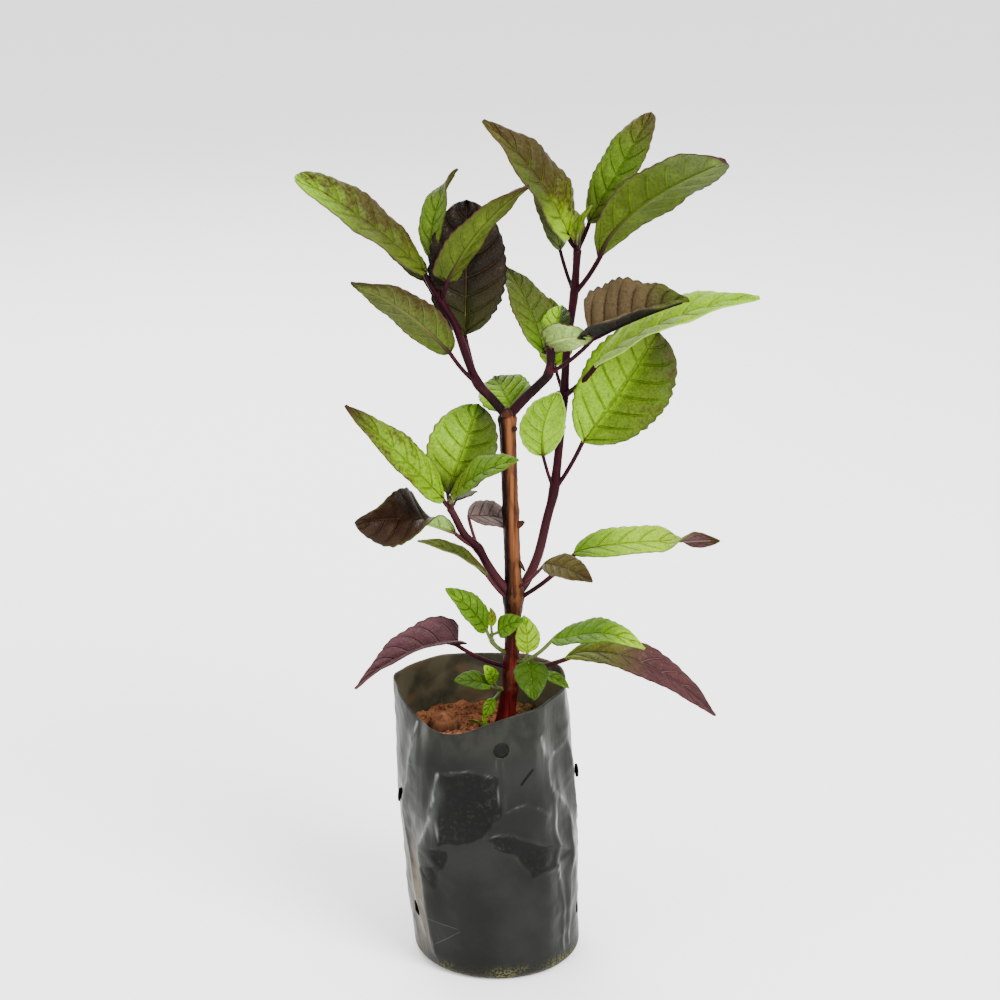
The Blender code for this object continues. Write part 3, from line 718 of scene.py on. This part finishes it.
def half_width(leaf, t):
    """Ovate outline: a low heel is a round base, a low point a blunt tip."""
    widest = leaf.heel / (leaf.heel + leaf.point)
    shape = (t / widest) ** leaf.heel * ((1 - t) / (1 - widest)) ** leaf.point
    return max(leaf.width / 2 * shape, HEEL_WIDTH if t < 0.5 else TIP_WIDTH)


def spine(leaf, base, t):
    """Place on the midrib, and the directions across the blade and up from its face."""
    chord = heading(*leaf.blade)
    length, along = chord.length, chord.normalized()
    up = (Vector((0, 0, 1)) - along * along.z).normalized()
    normal = Matrix.Rotation(math.radians(leaf.roll), 3, along) @ up
    side = along.cross(normal)
    late = leaf.peak / (1 - leaf.peak)
    top = leaf.peak ** late * (1 - leaf.peak)

    def midrib(t):
        bow = leaf.arch * length * t ** late * (1 - t) / top
        return base + chord * t + normal * bow + side * leaf.sickle * length * 4 * t * (1 - t)

    tangent = (midrib(min(t + 0.01, 1)) - midrib(max(t - 0.01, 0))).normalized()
    lifted = (normal - tangent * tangent.dot(normal)).normalized()
    degrees, start, span = leaf.twist
    turn = clamp((t - start) / span)
    turned = Matrix.Rotation(math.radians(degrees * turn * turn * (3 - 2 * turn)), 3, tangent)
    return midrib(t), turned @ tangent.cross(lifted), turned @ lifted


def blend(paints, t):
    """Colour at t along three evenly spaced paints, given by name; one name serves for all three."""
    stops = (paints.split() * 3)[:3]
    low, high = stops[:2] if t < 0.5 else stops[1:]
    share = t * 2 % 1 if t < 1 else 1
    share = share * share * (3 - 2 * share)
    return part_way(PAINTS[low], PAINTS[high], share)


def add_blade(bm, leaf, base, seed):
    """One toothed blade: a grid along the spine, quilted between veins that curve towards the tip."""
    dice = random.Random(seed)
    length = leaf.blade[0]
    teeth, veins = (13, 7) if length > LONG_BLADE else (9, 6) if length > SHORT_BLADE else (5, 4)
    strips = 22 if length > SHORT_BLADE else 12
    rows = teeth * len(TOOTH)
    bites = {side: [dice.uniform(0.4, 1.3) for _ in range(teeth + 1)] for side in (-1, 1)}
    upper, under, veined, rimmed = (bm.verts.layers.float_color.get(layer) for layer in LEAF_LAYERS)
    mottled = bm.verts.layers.float.get("mottle")
    face_map = bm.loops.layers.uv.get("blade")
    frames = [spine(leaf, base, row / rows) for row in range(rows + 1)]
    made = bmesh.ops.create_grid(bm, x_segments=strips, y_segments=rows, size=1)["verts"]
    flat = {}
    for vert in made:
        s, row = vert.co.x, round((vert.co.y + 1) / 2 * rows)
        t, out, hand = row / rows, abs(s), 1 if s > 0 else -1
        place, across, lifted = frames[row]
        bite = TOOTH_DEPTH * (TOOTH[row % len(TOOTH)] - 0.6) * bites[hand][row // len(TOOTH)]
        reach = out * half_width(leaf, t) * (1 + bite * out ** 3 * (0 < row < rows))
        fold = math.radians(leaf.fold)
        lean = 0.95 * out + 0.5 * out ** 3
        phase = t * veins - lean
        bulge = abs(math.sin(math.pi * phase)) ** 0.7 * min(1, 4 * out) * (1 - out ** 4)
        wave = math.sin(2 * math.pi * (t * 2.6 + seed * 0.37 + 0.25 * hand)) * out ** 3
        pillow = noise.noise(place / 7 + Vector((s, seed, 0))) * out
        swell = leaf.width * (QUILTING * bulge + MARGIN_WAVE * (wave + pillow) * min(1, 6 * t * (1 - t)))
        droop = -0.07 * leaf.width * max(0, out - 0.5) ** 2
        spot = place + across * math.copysign(reach * math.cos(fold), s)
        vert.co = (spot + lifted * (reach * math.sin(fold) + swell + droop)) * MM
        # painted shade: the half on the leaf's deep side is darkened
        half_shade = 1 - abs(leaf.deep) * clamp(5 * s * math.copysign(1, leaf.deep))
        vert[upper] = tuple(c * half_shade for c in blend(leaf.upper, t))
        vert[under] = tuple(c * half_shade for c in blend(leaf.under, t))
        vert[veined], vert[rimmed] = PAINTS[leaf.vein], PAINTS[leaf.rim]
        vert[mottled] = leaf.mottle * max(0, 1 + leaf.flush * s * 1.5) * min(1, 2.5 * t)
        flat[vert] = ((s + 1) / 2, phase / VEIN_UNIT)
    for face in {f for v in made for f in v.link_faces}:
        for loop in face.loops:
            loop[face_map].uv = flat[loop.vert]


def leaf_finish(name, side, gloss, vein_share, relief, stain):
    """Finish of one face of the blades: its own tint, curved veins, brown between them, and a rim."""
    skin = Finish(name, Specular_IOR_Level=0.09)
    across, phase = skin.unrolled("blade")
    out = abs(across * 2 - 1)
    off = (phase * VEIN_UNIT).off_whole()
    lateral = (1 - off.ramp(0.015, 0.11)) * (1 - out.ramp(0.6, 0.95))
    midrib = 1 - out.ramp(0.015, 0.06)
    net = 1 - skin.cracks(760).ramp(0.0, 0.12)
    veins = lateral.larger(midrib)
    cloud = skin.noise(150, detail=4)
    fine = skin.noise(800, detail=4)
    tint, mottle = skin.kept_colour(side), skin.kept_number("mottle")
    between = cloud * 0.9 + out * 0.22 + off * 0.35 + fine * 0.25
    green = skin.split(tint)[1].ramp(0.03, 0.1)
    tint = skin.mix(green * cloud.ramp(0.5, 0.75) * 0.35 * (1 - out), tint, PAINTS["spring"])
    tone = (cloud * 0.8 + 0.66) * (1 - fine.ramp(0.45, 0.75) * 0.3 - net * 0.13)
    tint = skin.add("ShaderNodeVectorMath", {"operation": "SCALE"}, {0: tint, "Scale": tone}).outputs[0]
    brown = (mottle * stain * between.ramp(0.4, 1.3)).smaller(1.0)
    tint = skin.mix(brown * (fine + 0.35), tint, PAINTS["umber"])
    tint = skin.mix((veins * (fine * 0.6 + 0.7) * vein_share).ramp(0, 1), tint, skin.kept_colour("vein"))
    tint = skin.mix(out.ramp(0.9, 1.0) * 0.7, tint, skin.kept_colour("rim"))
    height = cloud * 0.3 - veins * relief + fine * 0.35 - net * 0.12
    return skin.wear(tint, fine * 0.3 + gloss, height, 0.0008)


leaf_faces = [leaf_finish("leaf_upper", "upper", 0.3, 0.5, 0.7, 1.0),
              leaf_finish("leaf_under", "under", 0.45, 0.4, -0.6, 0.4),
              leaf_finish("leaf_rim", "upper", 0.45, 0.1, 0.0, 0.5)]
shoot = Finish("young_stem", Specular_IOR_Level=0.05)
lines = shoot.noise(500, (1, 1, 0.15), 3)
flesh = shoot.coats(shoot.kept_colour("tint"), (lines.ramp(0.5, 0.75) * 0.2, 62, 20, 34),
                    (shoot.noise(140, detail=3).ramp(0.55, 0.75) * 0.25, 84, 26, 40))
down = Finish("soft_hairs", Base_Color=(0.05, 0.03, 0.03, 1), Roughness=1.0, Specular_IOR_Level=0.0)
shoot.wear(flesh, lines * 0.2 + 0.35, lines, 0.0002, 0.6)


def add_hairs(bm, path, count, dice):
    """Short soft three-sided hairs that stand out from a shoot."""
    for _ in range(count):
        k = dice.randrange(1, len(path) - 1)
        before, place, after = (Vector(p[:3]) for p in path[k - 1:k + 2])
        tangent = (after - before).normalized()
        out = Matrix.Rotation(dice.uniform(0, 6.28), 3, tangent) @ tangent.orthogonal().normalized()
        lean = (out + tangent * dice.uniform(-0.3, 0.5)).normalized()
        tall = dice.uniform(0.5, 1.1)
        spot = place + tangent * dice.uniform(-1, 1) + out * path[k][3] * 0.85 + lean * tall / 2
        made = bmesh.ops.create_cone(bm, cap_ends=False, segments=3, radius1=0.035 * MM, radius2=0.01 * MM,
                                     depth=tall * MM, matrix=stand_at(spot, lean))["verts"]
        for face in {f for v in made for f in v.link_faces}:
            face.material_index = 1


def stalk_tint(tints, beneath):
    """Tint of a stalk, which runs on behind its blade as the rib and takes on its colour there."""
    midway = STALK_POINTS / (STALK_POINTS + RIB_POINTS + 1)
    return lambda row, out: part_way(blend(tints, 1), beneath, clamp((row - midway) / 0.2))


def leafy_stem(name, route, radii, leaves, tints, seed, node=None):
    """A shoot with its stalks, and its blades, as two pieces; radii are given for its foot and tip."""
    dice = random.Random(seed)
    stems = bmesh.new()
    stems.verts.layers.float_color.new("tint")
    if len(route) > 1:
        (thick, thin), last = radii, len(route) - 1
        sized = [(*p, thick + (thin - thick) * k / last) for k, p in enumerate(route)]
        path = smooth_path(sized, STEM_STEPS)
        knots = {leaf.node for leaf in leaves}
        for k, point in enumerate(path):
            point[3] *= 1 + 0.22 * max(math.exp(-((k / STEM_STEPS - knot) * 3) ** 2) for knot in knots)
        add_tube(stems, path, 16, lambda place, out: 0.07 * abs(math.sin(2 * math.atan2(out.y, out.x))),
                 lambda row, out: blend(tints, row))
        add_hairs(stems, path, 5 * len(path), dice)
    blades = bmesh.new()
    for layer in LEAF_LAYERS:
        blades.verts.layers.float_color.new(layer)
    blades.verts.layers.float.new("mottle")
    blades.loops.layers.uv.new("blade")
    for k, leaf in enumerate(leaves):
        root = Vector(route[leaf.node])
        base = root + heading(*leaf.petiole)
        sag = (root + base) / 2 - Vector((0, 0, 0.12 * leaf.petiole[0]))
        girth = 0.45 + 0.008 * leaf.blade[0]
        steps = [j / (STALK_POINTS - 1) for j in range(STALK_POINTS)]
        stalk = [root * (1 - t) ** 2 + sag * 2 * t * (1 - t) + base * t * t for t in steps]
        grown = [girth * (1.5 - 0.5 * min(1, j / 2)) for j in range(STALK_POINTS)]
        rib, taper = [], []
        for j in range(1, RIB_POINTS + 1):
            place, _, lifted = spine(leaf, base, j / (RIB_POINTS + 1))
            rib.append(place - lifted * (0.28 * girth + 0.12))
            taper.append(girth * (0.85 - 0.7 * j / (RIB_POINTS + 1)))
        path = [(*place, radius) for place, radius in zip(stalk + rib, grown + taper)]
        add_tube(stems, path, 10, None, stalk_tint(tints, blend(leaf.under, 0.5)))
        add_hairs(stems, path[:STALK_POINTS], int(leaf.petiole[0] * 2), dice)
        add_blade(blades, leaf, base, seed + k)
    piece(name + "_shoot", stems, [shoot.material, down.material], node or name)
    made = piece(name + "_blades", blades, leaf_faces, node or name)
    wall = made.modifiers.new("thickness", "SOLIDIFY")
    wall.thickness = LEAF_THICKNESS * MM
    wall.offset = 0
    wall.material_offset = 1
    wall.material_offset_rim = 2


# ---- top left branch ----
# The left arm of the fork, with two leaves halfway and four at its tip. The hind one of the two is painted
# nearly black as shade from its middle to its tip, with brown veins; the others are green, some mottled
# brown.
leafy_stem("top_left_stem", (
    (3.5, 0, 213), (-2, -1, 220), (-7, -2, 226), (-11, -3, 236), (-15, -4, 248), (-20, -5, 257),
    (-21, -5, 261)), (1.7, 1.2), (
    Leaf(2, (19, -138, 46), (45, -164, 38), 17, 56, "plum wine wine", "leaf dull dull", "sage",
         mottle=2.4, flush=-1, arch=0.1, heel=0.45),
    # painted shade: this blade's tip half and its rim are painted nearly black
    Leaf(2, (18.8, 157, 74), (47.6, 82, 83), 29, 14, "deep ink ink", vein="umber", rim="ink", mottle=0.5,
         point=0.55),
    Leaf(5, (12.5, -161, 61), (59, -163, 39), 21, -36, "leaf leaf spring", vein="olive", mottle=2.0,
         flush=0.7, sickle=-0.05, point=0.45),
    Leaf(5, (15.5, 129, 71), (33, 41, 68), 13, 5, "leaf fresh olive", "leaf leaf olive", mottle=0.8,
         twist=(-55, 0.45, 0.55), sickle=-0.06, point=0.45, rim="umber"),
    Leaf(5, (9.4, -61, 61), (46.7, -16, 50), 19, -30, "plum plum umber", "moss leaf olive", "dull",
         mottle=0.6, heel=0.2, point=0.7),
    Leaf(5, (10.5, 136, 38), (24, 152, 34), 11, -18, "moss olive umber", mottle=0.6),
), "ink wine wine", 10)

# ---- top right branch ----
# The right arm of the fork. Its front blade is folded, olive-brown inside and nearly black beneath. Beside
# it are a green blade, a purple one that shows its pale underside, and a young one on top.
leafy_stem("top_right_stem", (
    (3.9, 0, 213), (10, -2, 220.5), (15, -4, 226), (18.5, -6, 231), (19.2, -8, 239), (19.5, -8, 243)),
    (1.9, 1.3), (
    Leaf(3, (22.5, -28, 40), (39, -20, 26), 36, 24, "rust rust moss", "ink ink deep", "cocoa", "ink", 0.2,
         fold=42, arch=0.03, heel=0.22, point=0.8),
    Leaf(4, (4, 133, -6), (36.2, 123, 46), 18, 3, "fresh leaf moss", vein="dull", mottle=0.8, deep=0.2),
    Leaf(4, (5, -126, 50), (22, -40, 16), 13, -60, "plum", "sage mint sage", "mint", heel=0.3),
    Leaf(5, (5, 85, 6), (14, 71, 39), 11, 6, "leaf spring spring", rim="ink", deep=0.92),
), "wine ink wine", 20)

# ---- tall branch ----
# The strongest shoot leaves the trunk halfway up and overtops the fork, with four pairs of leaves and a
# growing tip. Its upper leaves are flushed brown.
leafy_stem("tall_stem", (
    (5.8, 0, 143.5), (10, 3, 147), (15, 6, 157), (18.4, 8, 171), (21, 9, 182), (23, 12, 200),
    (24.5, 14, 217), (25.5, 15, 234), (28, 16, 255), (29, 16, 271)), (1.9, 1.3), (
    Leaf(4, (15.5, -136, 68), (26.4, -35, 75), 18, -40, "fresh leaf leaf", "spring", "mint",
         rim="mint", sickle=0.06),
    Leaf(4, (21.8, -4, 61), (48.5, 27, 51), 35, 68, "spring spring leaf", rim="moss",
         mottle=0.6, flush=0.8, heel=0.6, point=0.5, deep=0.6),
    Leaf(6, (22.5, -49, 41), (69, -25, 27), 24, 21, "lime lime spring", "mint sage sage", vein="spring",
         rim="mint"),
    Leaf(6, (12.5, 112, 47), (25, 116, 80), 15, -11, "spring fresh leaf", rim="ink"),
    Leaf(8, (17, 126, 59), (31, 140, 62), 11, -20, "sage dull deep", mottle=0.2),
    Leaf(8, (19, -38, 53), (62, -30, 39), 25, -40, "deep moss plum", "leaf leaf sage", "fresh", "plum",
         arch=0.13, peak=0.35, point=0.5),
    Leaf(9, (7.5, -141, 51), (55, -157, 53), 25, -49, "lime moss olive", vein="olive", mottle=3.6,
         flush=1.1, heel=0.42),
    Leaf(9, (11, 35, 61), (45, 10, 60), 17, 42, "leaf fresh olive", mottle=0.7, sickle=0.05, point=0.55,
         deep=0.2),
    Leaf(9, (4, -85, 44), (17, -52, 64), 8, 54, "rust lime straw", rim="olive"),
    Leaf(9, (4.5, 99, 31), (14, 95, 44), 8, -2, "straw"),
), "plum wine wine", 30)

# ---- middle left branch ----
# A shoot from the same node as the tall one, to the left. Its lowest blade is dark brown and rolls over so
# that its pale green underside shows at the stalk.
leafy_stem("middle_left_stem", (
    (5.8, 0, 143.5), (0.3, -2, 150.5), (-4, -4, 158), (-7, -5, 164), (-12, -7, 170), (-15.4, -9, 177.5),
    (-17, -10, 181)), (1.8, 1.2), (
    Leaf(3, (12, -155, 38), (38.4, -161, 12), 23, 30, "olive cocoa cocoa", "mint mint sage", "umber",
         "moss", 0.6, fold=24, twist=(-140, 0.05, 0.9), heel=0.7, point=0.65),
    Leaf(3, (12.5, 122, 56), (24, 32, -19), 15, 29, "mauve mauve plum", "sage", "plum"),
    Leaf(6, (5.5, -145, 52), (53, -160, 47), 17, -46, "spring spring umber", mottle=1.2, vein="leaf",
         sickle=-0.06),
    Leaf(6, (6, 110, 58), (34, 47, 61), 26, 37, "moss spring fresh", mottle=0.5, point=0.6,
         deep=0.75),
    Leaf(6, (5.5, -82, 56), (38, -40, 34), 16, 40, "straw fresh fresh", "mint", rim="dull",
         deep=0.2),
    Leaf(6, (6.3, 74, 10), (14, 59, -3), 9, 0, "deep moss moss"),
), "plum wine plum", 40)

# ---- shoots and leaves at the foot ----
# Bright green side shoots from the lower nodes, and single leaves that grow straight from the trunk, two of
# them purple.
leafy_stem("base_left_shoot", ((5, 0, 120.5), (1, -2, 123), (-2, -4, 127), (-2, -4.5, 130)), (0.9, 0.7), (
    Leaf(2, (6, -138, 62), (24.5, -158, 49), 12, -54, "vivid vivid fresh", vein="grass", rim="grass"),
    Leaf(3, (5.5, -58, 30), (13, -34, 33), 9, 65, "vivid", vein="grass", rim="grass"),
    Leaf(3, (3, 100, 60), (7, 110, 81), 4, 20, "lime straw straw", rim="leaf"),
), "dull sage sage", 50)
leafy_stem("base_right_shoot", ((5.4, 0, 118), (8.5, -2.5, 118.5), (10.5, -4.5, 119.5)), (1.0, 0.8), (
    Leaf(2, (17, -39, 42), (36, -23, 3), 15, 20, "vivid vivid lime", arch=0.15, peak=0.6, vein="fresh",
         rim="grass"),
    Leaf(2, (5.5, -77, 55), (14, 127, 80), 10, -18, "lime lime spring", vein="fresh", rim="vivid",
         deep=-0.2),
    Leaf(2, (6.5, -80, 15), (17, -82, -33), 13, 5, "grass", vein="vivid", rim="grass"),
    Leaf(2, (9, -40, -22), (11, -20, -22), 6, 19, "fresh vivid vivid", rim="grass"),
), "plum dull sage", 60)
leafy_stem("low_shoot", ((4.4, 0, 106), (1.5, -2, 107), (0, -3.5, 108)), (0.8, 0.6), (
    Leaf(2, (4.5, -138, 30), (15, -156, 16), 9, -33, "fresh grass grass", rim="grass"),
    Leaf(2, (4, -119, 55), (8.5, -152, 60), 6, -85, "fresh fresh spring", rim="grass"),
    Leaf(1, (6, -123, -22), (8, -130, -47), 5, -39, "fresh", rim="grass"),
), "dull sage sage", 70)
leafy_stem("purple_leaf_left", ((5.3, 0, 115),), None, (
    Leaf(0, (25.2, -159, 29), (40.5, -168, -21), 20, -32, "heather", "plum wine plum",
         "mauve", "ink", 0.1, arch=0.2, fold=50, peak=0.4, heel=0.22, point=1.05),
), "wine plum wine", 80)
leafy_stem("purple_leaf_right", ((5.3, 0, 115),), None, (
    Leaf(0, (21, -8, 12), (59.5, -6, -20), 15, 32, "straw plum plum", "leaf plum wine", "mauve", "wine",
         0.3, arch=0.25, peak=0.4),
), "sage dull plum", 90)
leafy_stem("long_leaf_right", ((6, 0, 141.5),), None, (
    Leaf(0, (29.6, -4, 40), (54, 4, 4), 15, 27, "fresh lime plum", "sage mauve plum", "straw", "leaf",
         0.1, arch=0.06, twist=(-150, 0.58, 0.42), peak=0.35, heel=0.45, point=0.8),
), "plum plum wine", 100)
leafy_stem("small_leaf_front", ((6, 0, 146),), None, (
    Leaf(0, (22, -47, 41), (21, -35, -7), 12, 26, "olive olive umber", vein="mauve", rim="mauve",
         mottle=0.4),
), "plum", 110)
leafy_stem("fork_leaf", ((4.2, 0, 211),), None, (
    Leaf(0, (6, 70, 20), (22, 110, 20), 20, -20, "fresh spring leaf", rim="sage", deep=0.4),
), "plum", 120)
leafy_stem("under_leaf", ((5.6, 0, 141),), None, (
    Leaf(0, (18.5, -141, 48), (33, -152, 32), 10, -20, "olive moss dull", mottle=0.4, rim="sage"),
), "plum", 130)

# ---- seedling ----
# It came up in the soil left of the trunk: three small bright leaves on stalks as thin as thread.
leafy_stem("seedling", ((-4.5, 4, 88.5),), None, (
    Leaf(0, (1.6, 160, 50), (6, 172, 14), 2.6, 24, "lime lime straw", rim="leaf"),
    Leaf(0, (1.4, -20, 50), (4.5, -8, 8), 2.2, -20, "lime spring spring", rim="leaf"),
    Leaf(0, (1.2, 100, 60), (3.5, 110, 40), 2, 10, "spring lime lime", rim="leaf"),
), "sage", 140, "soil")

# ---- studio ----
# A plain pale floor under soft lights, and a camera that looks down 18 degrees at the plant.
bm = bmesh.new()
bmesh.ops.create_grid(bm, x_segments=1, y_segments=1, size=14)
floor = as_object("floor", bm)
plaster = Finish("pale_floor", Roughness=0.9)
pale_grey = plaster.mix(plaster.noise(2), (0.89, 0.89, 0.88, 1), (0.92, 0.92, 0.91, 1))
floor.data.materials.append(plaster.wear(pale_grey))

world = bpy.data.worlds.new("studio")
world.use_nodes = True
sky = world.node_tree.nodes["Background"]
sky.inputs["Color"].default_value = (1.0, 1.0, 1.0, 1)
sky.inputs["Strength"].default_value = 2.1
bpy.context.scene.world = world

# name, place, size in metres and power in watts of each lamp
LAMPS = (("key", (0.75, -0.85, 1.15), 0.7, 48), ("fill", (-0.95, -0.7, 0.7), 0.9, 8),
         ("back", (-0.3, 0.95, 1.0), 0.8, 20))
for name, spot, size, power in LAMPS:
    lamp = bpy.data.lights.new(name, "AREA")
    lamp.size = size
    lamp.energy = power
    lit = bpy.data.objects.new(name, lamp)
    bpy.context.scene.collection.objects.link(lit)
    lit.location = spot
    aim = Vector((0, 0, 0.17)) - Vector(spot)
    lit.rotation_euler = aim.to_track_quat("-Z", "Y").to_euler()

lens = bpy.data.cameras.new("camera")
lens.lens = 92.99
lens.sensor_width = 36
camera = bpy.data.objects.new("camera", lens)
camera.location = (0.001, -0.90, 0.4785)
camera.rotation_euler = (math.radians(71.71), 0, 0)
bpy.context.scene.collection.objects.link(camera)
bpy.context.scene.camera = camera
